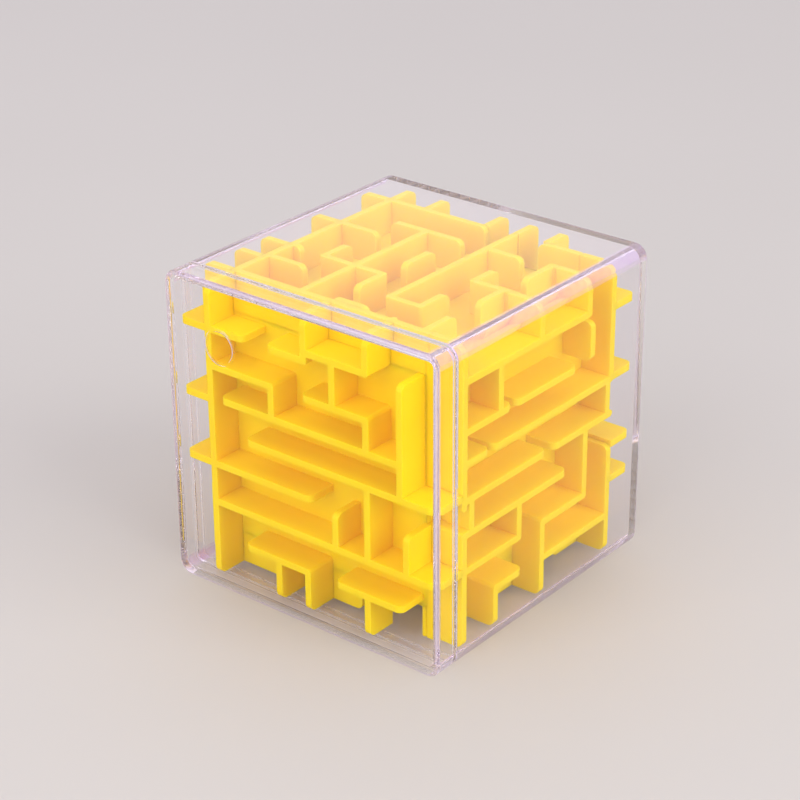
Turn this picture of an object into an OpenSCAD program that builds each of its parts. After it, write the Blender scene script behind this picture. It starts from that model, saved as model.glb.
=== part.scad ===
// 3D maze ball puzzle: a clear cube case around a six-sided maze with one loose steel ball.
// Millimetres, +Z up. Origin at the centre of the case's bottom face; the lid faces -Y.

/* [Case] */
// outer edge length of the closed case
case_size = 55; // [54.5:0.1:56]
// thickness of the clear walls
case_wall = 1.5; // [1.3:0.1:1.6]
// depth of the front tray lid
lid_depth = 4.2; // [3.8:0.1:5]
// outer radius on the four edges that run from front to back
case_edge_radius = 2.4; // [2:0.1:2.8]
// outer radius around the front of the lid and around the back of the box
end_edge_radius = 0.6; // [0.3:0.1:1]
// depth of the stepped joint between lid and box
lap_depth = 1.2; // [0.8:0.1:1.4]
// width of the groove around the case between lid and box
seam_width = 0.7; // [0.3:0.1:1]
// depth of the groove around the case between lid and box
seam_depth = 0.35; // [0.1:0.05:0.45]

/* [Maze] */
// half width of the hollow core that the walls stand on
core_half = 20.1; // [20:0.1:20.2]
// distance from the centre to the tips of the walls, as far as the case leaves room
tip_half = 25.6; // [25.4:0.05:25.8]
// thickness of the maze walls
rib = 1.2; // [1:0.05:1.3]
// radius of the tip corners where a wall ends free
wall_end_radius = 1.2; // [0.8:0.1:1.5]
// thickness of the panels under the walls
panel = 1.6; // [1.2:0.1:2]
// depth of the hidden frames that locate the panels
locator_depth = 2; // [1:0.1:3]

/* [Ball] */
// diameter of the steel ball
ball_diameter = 4; // [3.5:0.05:4]

/* [Lid mark] */
// outer diameter of the ring moulded into the lid
ring_diameter = 6.2; // [5:0.1:8]
// position of the ring from the middle of the lid
ring_x = -16; // [-19:0.5:19]
// height of the ring from the middle of the lid
ring_z = 16.8; // [-19:0.1:19]

/* [Hidden] */
$fn = 48;

clear_colour = [0.93, 0.93, 0.98, 0.25];
maze_colour = [1, 0.78, 0.05];
steel_colour = [0.75, 0.76, 0.78];

half = case_size / 2;
inner_half = half - case_wall;
seam_y = -half + lid_depth;
seam_gap = 0.12;
lap_clearance = 0.05;
lap_wall = 0.4 * case_wall;
inner_radius = case_edge_radius - case_wall;
ring_width = 0.4;
ring_groove = 0.2;
past = 1;
fit = 0.1;
locator_wall = 1.2;
inner_core = core_half - panel;
locator_half = inner_core - fit;
edge = core_half - rib / 2;
reach_half = min(tip_half, inner_half - fit);
tip = reach_half - rib / 2;
wall_height = reach_half - core_half;
rest_y = -9.45;

// Walls of each face, as [from across, from up, to across, to up] in millimetres from the middle
// of the face, counted upwards. "edge" is the wall along an edge of the core, "tip" reaches the case.

// front: across is +X, up is +Z
front_walls = [
    [-edge, -tip, -edge, tip],
    [-tip, 18.8, -12.7, 18.8], [-6.8, 18.8, 0.4, 18.8],
    [0.4, 18.8, 0.4, tip], [0.4, 20.2, 12.6, 20.2], [12.6, 20.2, 12.6, tip],
    [6, 12.4, 6, 20.2], [0.2, 12.4, 12.6, 12.4], [12.6, 6.8, 12.6, 12.4],
    [-edge, 12.4, -6.6, 12.4], [-6.6, 6.8, -6.6, 12.4], [-16.9, 6.8, 19.2, 6.8],
    [-tip, 6.4, -edge, 6.4], [19.2, 0.9, 19.2, 19.6],
    [-11.8, 0.9, tip, 0.9], [-tip, -5.1, 0.6, -5.1],
    [6.2, -12.1, 6.2, -6.4], [12.7, -12.1, 12.7, 0.9],
    [-edge, -12.1, tip, -12.1], [20.4, -12.1, 20.4, -5.6],
    [-12.7, -18.5, 0.2, -18.5], [-6, -tip, -6, -18.5], [0.2, -tip, 0.2, -18.5],
    [6.5, -18.5, 18.8, -18.5], [12.6, -tip, 12.6, -18.5]
];

// right: across is +Y, up is +Z
right_walls = [
    [-edge, -0.9, -edge, tip], [-17.7, -5.8, -17.7, 0.1], [-edge, -tip, -edge, -5.8],
    [-edge, 20.2, 12.8, 20.2], [0, 20.2, 0, tip], [12.8, 20.2, 12.8, tip],
    [-10.5, 11.8, -10.5, 20.2], [13.9, 12.2, 13.9, 17.8],
    [-edge, 11.8, -8.2, 11.8], [-5.8, 11.8, 9.2, 11.8],
    [-edge, 6.4, -13.8, 6.4], [-11.6, 6.4, edge, 6.4],
    [-edge, 0.1, 1.1, 0.1], [4.4, 0.1, edge, 0.1],
    [-edge, -5.8, 7, -5.8], [12.6, -12.2, 12.6, 0.1],
    [-5.3, -12.2, -5.3, -5.8], [-edge, -12.2, -5.3, -12.2], [1.1, -12.2, 12.6, -12.2],
    [1.1, -tip, 1.1, -12.2], [-11.3, -18.7, -4.8, -18.7], [-11.3, -tip, -11.3, -18.7],
    [1.1, -18.9, edge, -18.9],
    [edge, 6.4, edge, tip], [18.7, 0.1, 18.7, 6.4], [edge, -tip, edge, -6.4]
];

// top: across is +X, up is +Y
top_walls = [
    [-edge, -edge, edge, -edge], [-edge, -edge, -edge, edge],
    [-edge, edge, 0.4, edge], [12.4, edge, edge, edge],
    [-edge, 6.4, -12.1, 6.4], [-12.4, 12.1, 1, 12.1], [-5.8, -edge, -5.8, 12.1],
    [0.2, -0.9, 0.2, 5.4], [-12.2, -6.4, -12.2, -0.6], [-12.2, -6.4, 0, -6.4],
    [0, -12.4, 0, -6.4], [-edge, -11.6, -12.3, -11.6], [6.5, -12.7, 6.5, edge],
    [6.5, -12.7, 12.5, -12.7], [12.5, -12.7, 12.5, -6.8],
    [6.5, 12.1, 13, 12.1], [12.9, 0.2, 12.9, 5.4], [12.9, 0.2, edge, 0.2],
    [18.7, -5.8, 18.7, 0.2], [18.9, 5.8, 18.9, 12.8], [18.9, 12.8, edge, 12.8],
    [18.5, -edge, 18.5, -12.8], [0.2, -18.2, 6.2, -18.2], [12.3, -edge, 12.3, -18.9],
    [-edge, -5.7, -18, -5.7]
];

// back: across is +X, up is +Z
back_walls = [
    [-edge, -tip, -edge, 0], [-edge, 6.3, -edge, tip],
    [-12.1, 12.6, -12.1, tip], [0.4, 18.9, 0.4, tip], [6.5, 12.6, 6.5, tip], [12.6, 19, 12.6, tip],
    [12.6, 19, tip, 19], [6.3, 6.6, tip, 6.6], [12.6, -5.8, tip, -5.8], [0, -12.3, tip, -12.3],
    [-12.1, 12.6, 0, 12.6], [-6.3, 18.9, 0.4, 18.9], [12.9, 6.6, 12.9, 12.9],
    [0, 0, 0, 12.6], [-tip, 6.3, -6.3, 6.3], [-tip, 0, -12.6, 0],
    [0, 0, 12.6, 0], [-6.3, -12.6, -6.3, 0], [6.3, -6.3, 6.3, 0],
    [-12.6, -6.3, -6.3, -6.3], [-tip, -12.6, -12.6, -12.6], [-12.6, -18.9, -12.6, -12.6],
    [-6.3, -18.9, 6.3, -18.9], [0, -tip, 0, -18.9], [12.6, -18.9, 12.6, -12.3],
    [12.6, -18.9, edge, -18.9], [-6.3, -tip, -6.3, -18.9], [edge, -tip, edge, -18.9]
];

// left: across is +Y, up is +Z
left_walls = [
    [-edge, -tip, -edge, -12.6], [-edge, -6.3, -edge, tip], [edge, 6.3, edge, tip],
    [edge, -tip, edge, -6.3], [6.4, 12.6, 6.4, tip], [-6.2, 18.9, -6.2, tip],
    [-12.5, 12.6, -12.5, tip], [-12.5, 12.6, 0, 12.6], [0, 6.3, 0, 12.6],
    [6.4, 12.6, 12.6, 12.6], [12.6, 12.6, 12.6, 18.9], [-edge, 6.3, -6.3, 6.3],
    [6.3, 6.3, edge, 6.3], [-6.3, 0, -6.3, 6.3], [-12.6, 0, 6.3, 0],
    [12.6, -6.3, 12.6, 0], [12.6, 0, edge, 0], [-edge, -6.3, -6.3, -6.3],
    [0, -12.6, 0, 0], [0, -6.3, 6.3, -6.3], [-12.6, -12.6, -6.3, -12.6],
    [6.3, -12.6, edge, -12.6], [-12.6, -18.9, -12.6, -12.6], [-6.3, -18.9, 6.3, -18.9],
    [6.3, -tip, 6.3, -12.6], [-6.3, -tip, -6.3, -18.9]
];

// bottom: across is +X, up is +Y
bottom_walls = [
    [-edge, -12.6, -edge, edge], [edge, -edge, edge, 6.3], [edge, 12.6, edge, edge],
    [-12.6, edge, edge, edge], [-edge, -edge, 6.3, -edge],
    [-3.2, -12.6, -3.2, 6.3], [3.2, -edge, 3.2, 6.3],
    [-edge, 12.6, -6.3, 12.6], [0, 12.6, 12.6, 12.6], [12.6, 6.3, 12.6, 12.6],
    [-12.6, 0, -12.6, 12.6], [-12.6, 6.3, -3.2, 6.3], [-edge, -6.3, -9, -6.3],
    [-9, -12.6, -9, -6.3], [-12.6, -12.6, -9, -12.6], [-edge, -12.6, -12.6, -12.6],
    [9, 0, 12.6, 0], [12.6, -6.3, 12.6, 0], [9, 0, 9, 6.3],
    [9, -12.6, edge, -12.6], [9, -12.6, 9, -6.3]
];

case_box();
case_lid();
maze_panel_front();
maze_panel_back();
maze_panel_left();
maze_panel_right();
maze_panel_top();
maze_panel_bottom();
steel_ball();

// Moves a part drawn about the cube's centre to where the case stands on its bottom face.
module standing() {
    translate([0, 0, half]) children();
}

// A square with rounded corners, centred.
module rounded_square(half_width, radius) {
    flat = half_width - radius;
    union() {
        square([2 * half_width, 2 * flat], center = true);
        square([2 * flat, 2 * half_width], center = true);
        for (sx = [-1, 1], sy = [-1, 1]) {
            translate([sx * flat, sy * flat]) circle(r = radius);
        }
    }
}

// Turns a shape drawn in X and Z upright, from y1 to y2.
module upright(y1, y2) {
    translate([0, y2, 0]) rotate([90, 0, 0]) linear_extrude(height = y2 - y1) children();
}

// The outside of the case, with rounded edges all round.
module rounded_cube() {
    flat = half - case_edge_radius;
    union() {
        translate([0, 0, -flat]) linear_extrude(height = 2 * flat) rounded_square(half, end_edge_radius);
        rotate([0, 90, 0]) translate([0, 0, -flat]) linear_extrude(height = 2 * flat) {
            rounded_square(half, end_edge_radius);
        }
        for (sx = [-1, 1], sz = [-1, 1]) {
            translate([sx * flat, 0, sz * flat]) corner_post();
        }
    }
}

// One round corner of the case from front to back, its two ends rounded off.
module corner_post() {
    length_flat = half - end_edge_radius;
    rim = case_edge_radius - end_edge_radius;
    rotate([90, 0, 0]) rotate_extrude() union() {
        translate([0, -length_flat]) square([case_edge_radius, 2 * length_flat]);
        translate([0, -half]) square([rim, case_size]);
        for (end = [-1, 1]) {
            translate([rim, end * length_flat]) circle(r = end_edge_radius);
        }
    }
}

// A square prism along Y that divides the case across its whole width.
module slice(y1, y2) {
    width = case_size + 2 * past;
    translate([-width / 2, y1, -width / 2]) cube([width, y2 - y1, width]);
}

// The closed case as one hollow shell, with the groove where it comes apart.
module closed_shell() {
    difference() {
        rounded_cube();
        upright(-inner_half, inner_half) rounded_square(inner_half, inner_radius);
        seam_groove();
    }
}

module seam_groove() {
    y1 = seam_y - seam_width / 2;
    y2 = seam_y + seam_width / 2;
    difference() {
        slice(y1, y2);
        upright(y1 - past, y2 + past) rounded_square(half - seam_depth, case_edge_radius - seam_depth);
    }
}

// The inner half of the wall, grown by a clearance: the lid's rim slips into the box with it.
module lap(clearance, y1, y2) {
    outline = inner_half + lap_wall + clearance;
    upright(y1, y2) rounded_square(outline, case_edge_radius - half + outline);
}

module case_box() {
    color(clear_colour) standing() difference() {
        closed_shell();
        slice(-half - past, seam_y);
        lap(lap_clearance, seam_y - past, seam_y + lap_depth);
    }
}

module case_lid() {
    color(clear_colour) standing() difference() {
        closed_shell();
        slice(seam_y + lap_depth - lap_clearance, half + past);
        difference() {
            slice(seam_y - seam_gap, half);
            lap(0, seam_y - past, half + past);
        }
        translate([ring_x, -half, ring_z]) ring_groove_cut();
    }
}

// Thin ring sunk into the lid's outer face.
module ring_groove_cut() {
    depth = past + ring_groove;
    rotate([-90, 0, 0]) translate([0, 0, -past]) difference() {
        cylinder(h = depth, r = ring_diameter / 2);
        translate([0, 0, -past]) cylinder(h = depth + 2 * past, r = ring_diameter / 2 - ring_width);
    }
}

// True if a point is on a wall.
function touches(point, wall) =
    point[0] > wall[0] - rib && point[0] < wall[2] + rib &&
    point[1] > wall[1] - rib && point[1] < wall[3] + rib;

// How many walls of a face a point is on.
function touching(point, walls) = len([for (wall = walls) if (touches(point, wall)) wall]);

// True if the wall's end at a point meets neither another wall nor the edge of the core.
function stands_free(point, along, walls) =
    touching(point, walls) == 1 && abs(abs(point * along) - edge) > fit;

// All walls of one face, standing on the core, drawn flat with the tips towards +Z.
module wall_set(walls) {
    translate([0, 0, core_half]) for (wall = walls) {
        along = wall[2] > wall[0] ? [1, 0] : [0, 1];
        from = [wall[0], wall[1]];
        to = [wall[2], wall[3]];
        length = (to - from) * along;
        free = [stands_free(from, along, walls), stands_free(to, along, walls)];
        translate(from) rotate([0, 0, 90 * along[1]]) wall_bar(length, free);
    }
}

// One wall from the origin along +X. It has a round cap where it meets another wall, and a square
// end with a rounded tip corner where it stands free.
module wall_bar(length, free) {
    for (i = [0, 1]) {
        translate([i * length, 0, 0]) mirror([1 - i, 0, 0]) {
            if (free[i]) free_end(length / 2);
            else joined_end(length / 2);
        }
    }
}

module joined_end(reach) {
    linear_extrude(height = wall_height) union() {
        translate([-reach, -rib / 2]) square([reach, rib]);
        circle(r = rib / 2);
    }
}

module free_end(reach) {
    corner = rib / 2 - wall_end_radius;
    rotate([90, 0, 0]) linear_extrude(height = rib, center = true) union() {
        translate([-reach, 0]) square([reach + corner, wall_height]);
        translate([-reach, 0]) square([reach + rib / 2, wall_height - wall_end_radius]);
        translate([corner, wall_height - wall_end_radius]) circle(r = wall_end_radius);
    }
}

// Flat plate under the walls, mitred all round so that six of them close into the core.
module mitred_plate() {
    intersection() {
        rotate([90, 0, 0]) plate_section();
        rotate([90, 0, 90]) plate_section();
    }
}

// Cross-section of a plate, run the full width of the core.
module plate_section() {
    linear_extrude(height = 2 * core_half, center = true) polygon([
        [-core_half, core_half], [core_half, core_half],
        [inner_core, inner_core], [-inner_core, inner_core]
    ]);
}

// Square frame on the inside of the front and back panels that the other four close around.
module locating_frame() {
    inner = locator_half - locator_wall;
    translate([0, 0, inner_core - locator_depth]) linear_extrude(height = locator_depth) difference() {
        square(2 * locator_half, center = true);
        square(2 * inner, center = true);
    }
}

// Two rails on the inside of the top and bottom panels that lie against the left and right ones.
module locating_rails() {
    length = 2 * (inner_core - locator_depth - fit);
    for (side = [-1, 1]) {
        translate([side * (locator_half - locator_wall / 2), 0, inner_core - locator_depth / 2]) {
            cube([locator_wall, length, locator_depth], center = true);
        }
    }
}

// Turns a face drawn flat (across = X, up = Y, outside = +Z) to its side of the cube.
module facing_front() {
    rotate([90, 0, 0]) children();
}

module facing_back() {
    mirror([0, 1, 0]) rotate([90, 0, 0]) children();
}

module facing_right() {
    rotate([90, 0, 90]) children();
}

module facing_left() {
    mirror([1, 0, 0]) rotate([90, 0, 90]) children();
}

module facing_bottom() {
    mirror([0, 0, 1]) children();
}

module end_panel(walls) {
    union() {
        wall_set(walls);
        mitred_plate();
        locating_frame();
    }
}

module side_panel(walls) {
    union() {
        wall_set(walls);
        mitred_plate();
    }
}

module cover_panel(walls) {
    union() {
        wall_set(walls);
        mitred_plate();
        locating_rails();
    }
}

module maze_panel_front() {
    color(maze_colour) standing() facing_front() end_panel(front_walls);
}

module maze_panel_back() {
    color(maze_colour) standing() facing_back() end_panel(back_walls);
}

module maze_panel_left() {
    color(maze_colour) standing() facing_left() side_panel(left_walls);
}

module maze_panel_right() {
    color(maze_colour) standing() facing_right() side_panel(right_walls);
}

module maze_panel_top() {
    color(maze_colour) standing() cover_panel(top_walls);
}

module maze_panel_bottom() {
    color(maze_colour) standing() facing_bottom() cover_panel(bottom_walls);
}

// The ball rests on the floor of the case in the long corridor under the bottom panel.
module steel_ball() {
    radius = ball_diameter / 2;
    color(steel_colour) translate([0, rest_y, case_wall + radius]) sphere(r = radius);
}
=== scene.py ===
"""3D maze ball puzzle: a clear cube case around a yellow six-sided maze and a steel ball."""

import math

import bpy
from mathutils import Matrix, Vector

MM = 0.001

# camera: angles round the cube, then distance, offsets from its middle and focal length
CAMERA_AZIMUTH = 39.142
CAMERA_ELEVATION = 25.996
CAMERA_ROLL = -0.431
CAMERA_DISTANCE = 367.3 * MM
CAMERA_OFFSET = (-1.528 * MM, 1.818 * MM)
FOCAL_LENGTH = 100.53
SENSOR_WIDTH = 36.0
CUBE_MIDDLE = Vector((0, 0, 27.5 * MM))

# material colours as ramp stops, and the tint of light let through the case
YELLOW_COLOURS = [(0.3, (1.0, 0.67, 0.0)), (0.7, (1.0, 0.72, 0.002))]
CLEAR_COLOURS = [(0.3, (0.98, 0.97, 0.985)), (0.7, (0.99, 0.98, 0.995))]
# lavender of the case's rounded edges, which also colours the painted sheen on them
LAVENDER_COLOURS = [(0.3, (0.84, 0.7, 0.97)), (0.7, (0.94, 0.86, 1.0))]
STEEL_COLOURS = [(0.3, (0.60, 0.61, 0.63)), (0.7, (0.74, 0.75, 0.77))]
FLOOR_COLOURS = [(0.3, (0.52, 0.51, 0.48)), (0.7, (0.55, 0.54, 0.51))]
CLEAR_AIR = (0.97, 0.965, 0.98)

# studio light: name, azimuth, elevation, distance, size, power, colour
LAMPS = [
    ("key", 95, 27, 0.9, 0.7, 4.4, (1.0, 0.98, 0.95)),
    ("fill", -5, 24, 1.1, 1.0, 5.6, (1.0, 0.98, 0.96)),
    ("overhead", 40, 74, 1.0, 0.9, 2.1, (1.0, 0.99, 0.97)),
    ("window", 219, 27, 1.3, 1.3, 1.4, (1.0, 0.99, 0.98)),
]
WORLD_COLOUR = (0.97, 0.9, 1.0)
WORLD_STRENGTH = 0.8

# radius of the maze's moulded edges
MOULDED_EDGE = 0.22 * MM
# the case's flat faces have a normal within this cosine of an axis; the rest are its rounded edges
FLAT_COSINE = 0.9995
# bounces of light that reach round the clear walls
BOUNCES = 128

CASE_NODES = ("case_box", "case_lid")
MAZE_NODES = tuple("maze_panel_" + side for side in ("front", "back", "left", "right", "top", "bottom"))
BALL_NODE = "steel_ball"


# ---------------------------------------------------------------- node helpers


def new_material(name):
    """An empty node material: returns it, its tree and its output node."""
    material = bpy.data.materials.new(name)
    material.use_nodes = True
    tree = material.node_tree
    tree.nodes.clear()
    output = tree.nodes.new("ShaderNodeOutputMaterial")
    return material, tree, output


def add(tree, kind, **values):
    """Adds a node, setting its properties, or its sockets where the name is no property."""
    node = tree.nodes.new(kind)
    for name, value in values.items():
        if hasattr(node, name):
            setattr(node, name, value)
        else:
            node.inputs[name.replace("_", " ")].default_value = value
    return node


def noise(tree, coords, scale, detail=3.0, roughness=0.5):
    """A noise texture in object space."""
    node = add(tree, "ShaderNodeTexNoise", Scale=scale, Detail=detail, Roughness=roughness)
    tree.links.new(coords.outputs["Object"], node.inputs["Vector"])
    return node


def remap(tree, source, low, high, from_low=0.0, from_high=1.0):
    """Maps a value to another range."""
    node = tree.nodes.new("ShaderNodeMapRange")
    node.inputs["From Min"].default_value = from_low
    node.inputs["From Max"].default_value = from_high
    node.inputs["To Min"].default_value = low
    node.inputs["To Max"].default_value = high
    tree.links.new(source, node.inputs["Value"])
    return node.outputs["Result"]


def ramp(tree, source, stops):
    """A colour ramp with (position, colour) stops."""
    node = tree.nodes.new("ShaderNodeValToRGB")
    elements = node.color_ramp.elements
    while len(elements) < len(stops):
        elements.new(0.5)
    for element, (position, colour) in zip(elements, stops):
        element.position = position
        element.color = (*colour, 1.0)
    tree.links.new(source, node.inputs["Fac"])
    return node.outputs["Color"]


def bump(tree, height, strength, distance):
    """A bump from a height value, in metres of distance."""
    node = add(tree, "ShaderNodeBump", Strength=strength, Distance=distance)
    tree.links.new(height, node.inputs["Height"])
    return node.outputs["Normal"]


# ---------------------------------------------------------------- materials


def yellow_plastic():
    """Moulded yellow plastic: slightly uneven colour, fine moulding grain, light spreading inside it."""
    material, tree, output = new_material("yellow plastic")
    coords = tree.nodes.new("ShaderNodeTexCoord")
    shader = add(tree, "ShaderNodeBsdfPrincipled", IOR=1.5)
    shader.inputs["Specular IOR Level"].default_value = 0.2
    shader.inputs["Subsurface Weight"].default_value = 0.6
    shader.inputs["Subsurface Radius"].default_value = (1.0, 0.85, 0.1)
    shader.inputs["Subsurface Scale"].default_value = 1.5 * MM
    clouds = noise(tree, coords, 90.0)
    tree.links.new(ramp(tree, clouds.outputs["Fac"], YELLOW_COLOURS), shader.inputs["Base Color"])
    grain = noise(tree, coords, 2500.0, detail=4.0, roughness=0.6)
    rough = remap(tree, clouds.outputs["Fac"], 0.38, 0.5)
    tree.links.new(rough, shader.inputs["Roughness"])
    tree.links.new(bump(tree, grain.outputs["Fac"], 0.25, 0.04 * MM), shader.inputs["Normal"])
    tree.links.new(shader.outputs["BSDF"], output.inputs["Surface"])
    return material


def let_light_through(tree, surface, colour):
    """The surface for what is seen, but plain tinted air for light on its way to the things inside."""
    path = tree.nodes.new("ShaderNodeLightPath")
    for ray in ("Is Shadow Ray", "Is Diffuse Ray"):
        air = tree.nodes.new("ShaderNodeBsdfTransparent")
        air.inputs["Color"].default_value = (*colour, 1.0)
        mix = tree.nodes.new("ShaderNodeMixShader")
        tree.links.new(path.outputs[ray], mix.inputs["Fac"])
        tree.links.new(surface, mix.inputs[1])
        tree.links.new(air.outputs["BSDF"], mix.inputs[2])
        surface = mix.outputs["Shader"]
    return surface


def glassy(name, colours, transmission, marks_scale, roughness):
    """A clear plastic with marks of one size, and waves that bend what is seen through it a little."""
    material, tree, output = new_material(name)
    coords = tree.nodes.new("ShaderNodeTexCoord")
    shader = add(tree, "ShaderNodeBsdfPrincipled", IOR=1.49)
    shader.inputs["Transmission Weight"].default_value = transmission
    shader.inputs["Specular Tint"].default_value = (0.25, 0.15, 0.05, 1.0)
    marks = noise(tree, coords, marks_scale, detail=5.0, roughness=0.6)
    tree.links.new(ramp(tree, marks.outputs["Fac"], colours), shader.inputs["Base Color"])
    rough = remap(tree, marks.outputs["Fac"], *roughness, 0.4, 0.7)
    tree.links.new(rough, shader.inputs["Roughness"])
    waves = noise(tree, coords, 25.0, detail=1.0)
    tree.links.new(bump(tree, waves.outputs["Fac"], 0.1, 0.2 * MM), shader.inputs["Normal"])
    surface = let_light_through(tree, shader.outputs["BSDF"], CLEAR_AIR)
    tree.links.new(surface, output.inputs["Surface"])
    return material


def clear_plastic():
    """Clear case plastic with faint smears."""
    return glassy("clear plastic", CLEAR_COLOURS, 1.0, 60.0, (0.0, 0.03))


def edge_with_painted_sheen():
    """The case's rounded edges: a lavender tint, fine scuffs in the roughness, and a painted sheen where
    some of the light is scattered back as pale lavender.
    """
    # painted sheen: a transmission weight of 0.85 leaves a lavender diffuse share that paints pale light
    # on the rounded edges
    return glassy("clear edge with painted sheen", LAVENDER_COLOURS, 0.85, 900.0, (0.05, 0.2))


def polished_steel():
    """Polished bearing steel with faint smears."""
    material, tree, output = new_material("polished steel")
    coords = tree.nodes.new("ShaderNodeTexCoord")
    shader = add(tree, "ShaderNodeBsdfPrincipled", Metallic=1.0)
    smears = noise(tree, coords, 700.0, detail=4.0)
    colour = ramp(tree, smears.outputs["Fac"], STEEL_COLOURS)
    tree.links.new(colour, shader.inputs["Base Color"])
    tree.links.new(remap(tree, smears.outputs["Fac"], 0.06, 0.2), shader.inputs["Roughness"])
    tree.links.new(bump(tree, smears.outputs["Fac"], 0.1, 0.01 * MM), shader.inputs["Normal"])
    tree.links.new(shader.outputs["BSDF"], output.inputs["Surface"])
    return material


def floor_material():
    """Plain pale floor."""
    material, tree, output = new_material("pale floor")
    coords = tree.nodes.new("ShaderNodeTexCoord")
    shader = add(tree, "ShaderNodeBsdfPrincipled", Roughness=0.7)
    clouds = noise(tree, coords, 3.0)
    colour = ramp(tree, clouds.outputs["Fac"], FLOOR_COLOURS)
    tree.links.new(colour, shader.inputs["Base Color"])
    tree.links.new(shader.outputs["BSDF"], output.inputs["Surface"])
    return material


def paint(obj, material, edge_material=None):
    """Gives a piece one material all over, or another where it is rounded and faces along no axis."""
    obj.data.materials.clear()
    obj.data.materials.append(material)
    if edge_material:
        obj.data.materials.append(edge_material)
    for polygon in obj.data.polygons:
        rounded = max(abs(v) for v in polygon.normal) < FLAT_COSINE
        polygon.material_index = int(rounded and edge_material is not None)


def soften_edges(obj, width, segments=2):
    """Rounds the sharp edges of a CAD node as moulding does, without changing its mesh."""
    flatten = obj.modifiers.new("flatten", "DECIMATE")
    flatten.decimate_type = "DISSOLVE"
    flatten.angle_limit = math.radians(1.0)
    rounding = obj.modifiers.new("rounding", "BEVEL")
    rounding.width = width
    rounding.segments = segments
    rounding.limit_method = "ANGLE"
    rounding.angle_limit = math.radians(40.0)
    rounding.harden_normals = False


# ---------------------------------------------------------------- stage


def make_floor():
    bpy.ops.mesh.primitive_plane_add(size=6.0, location=(0, 0, 0))
    floor = bpy.context.object
    floor.name = "floor"
    floor.data.materials.append(floor_material())


def area_light(name, azimuth, elevation, distance, size, power, colour):
    """A square area light aimed at the cube. Azimuth is counted as the camera's is."""
    a, e = math.radians(azimuth), math.radians(elevation)
    towards = Vector((math.sin(a) * math.cos(e), -math.cos(a) * math.cos(e), math.sin(e)))
    data = bpy.data.lights.new(name, "AREA")
    data.shape = "SQUARE"
    data.size = size
    data.energy = power
    data.color = colour
    light = bpy.data.objects.new(name, data)
    light.location = CUBE_MIDDLE + towards * distance
    light.rotation_euler = towards.to_track_quat("Z", "Y").to_euler()
    bpy.context.scene.collection.objects.link(light)


def make_lights():
    world = bpy.data.worlds.new("studio")
    world.use_nodes = True
    background = world.node_tree.nodes["Background"]
    background.inputs["Color"].default_value = (*WORLD_COLOUR, 1.0)
    background.inputs["Strength"].default_value = WORLD_STRENGTH
    bpy.context.scene.world = world
    for lamp in LAMPS:
        area_light(*lamp)


def make_camera():
    a, e, r = (math.radians(v) for v in (CAMERA_AZIMUTH, CAMERA_ELEVATION, CAMERA_ROLL))
    back = Vector((math.sin(a) * math.cos(e), -math.cos(a) * math.cos(e), math.sin(e)))
    level = Vector((0, 0, 1)).cross(back).normalized()
    upright = back.cross(level)
    right = level * math.cos(r) + upright * math.sin(r)
    up = upright * math.cos(r) - level * math.sin(r)
    place = CUBE_MIDDLE + right * CAMERA_OFFSET[0] + up * CAMERA_OFFSET[1] + back * CAMERA_DISTANCE
    data = bpy.data.cameras.new("camera")
    data.lens = FOCAL_LENGTH
    data.sensor_width = SENSOR_WIDTH
    data.clip_start = 0.01
    camera = bpy.data.objects.new("camera", data)
    camera.matrix_world = Matrix.Translation(place) @ Matrix((right, up, back)).transposed().to_4x4()
    bpy.context.scene.collection.objects.link(camera)
    bpy.context.scene.camera = camera


def set_up_light_paths(scene):
    """Enough bounces for light to find its way along the clear walls, and colours as they come."""
    scene.view_settings.view_transform = "Standard"
    scene.cycles.max_bounces = BOUNCES
    scene.cycles.glossy_bounces = BOUNCES
    scene.cycles.transmission_bounces = BOUNCES
    scene.cycles.transparent_max_bounces = 32


# ---------------------------------------------------------------- build

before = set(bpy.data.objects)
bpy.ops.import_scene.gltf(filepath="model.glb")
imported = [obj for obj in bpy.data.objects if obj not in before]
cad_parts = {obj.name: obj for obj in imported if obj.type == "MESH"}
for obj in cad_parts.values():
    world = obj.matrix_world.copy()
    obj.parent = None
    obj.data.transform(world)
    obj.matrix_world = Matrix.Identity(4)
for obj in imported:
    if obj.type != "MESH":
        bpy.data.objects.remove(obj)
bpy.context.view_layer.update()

yellow = yellow_plastic()
clear = clear_plastic()
# material for the case's rounded edges, with a painted lavender sheen
edge = edge_with_painted_sheen()
steel = polished_steel()

for node in MAZE_NODES:
    paint(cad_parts[node], yellow)
    soften_edges(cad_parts[node], MOULDED_EDGE)
for node in CASE_NODES:
    paint(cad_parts[node], clear, edge)
paint(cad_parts[BALL_NODE], steel)

make_floor()
make_lights()
make_camera()
set_up_light_paths(bpy.context.scene)
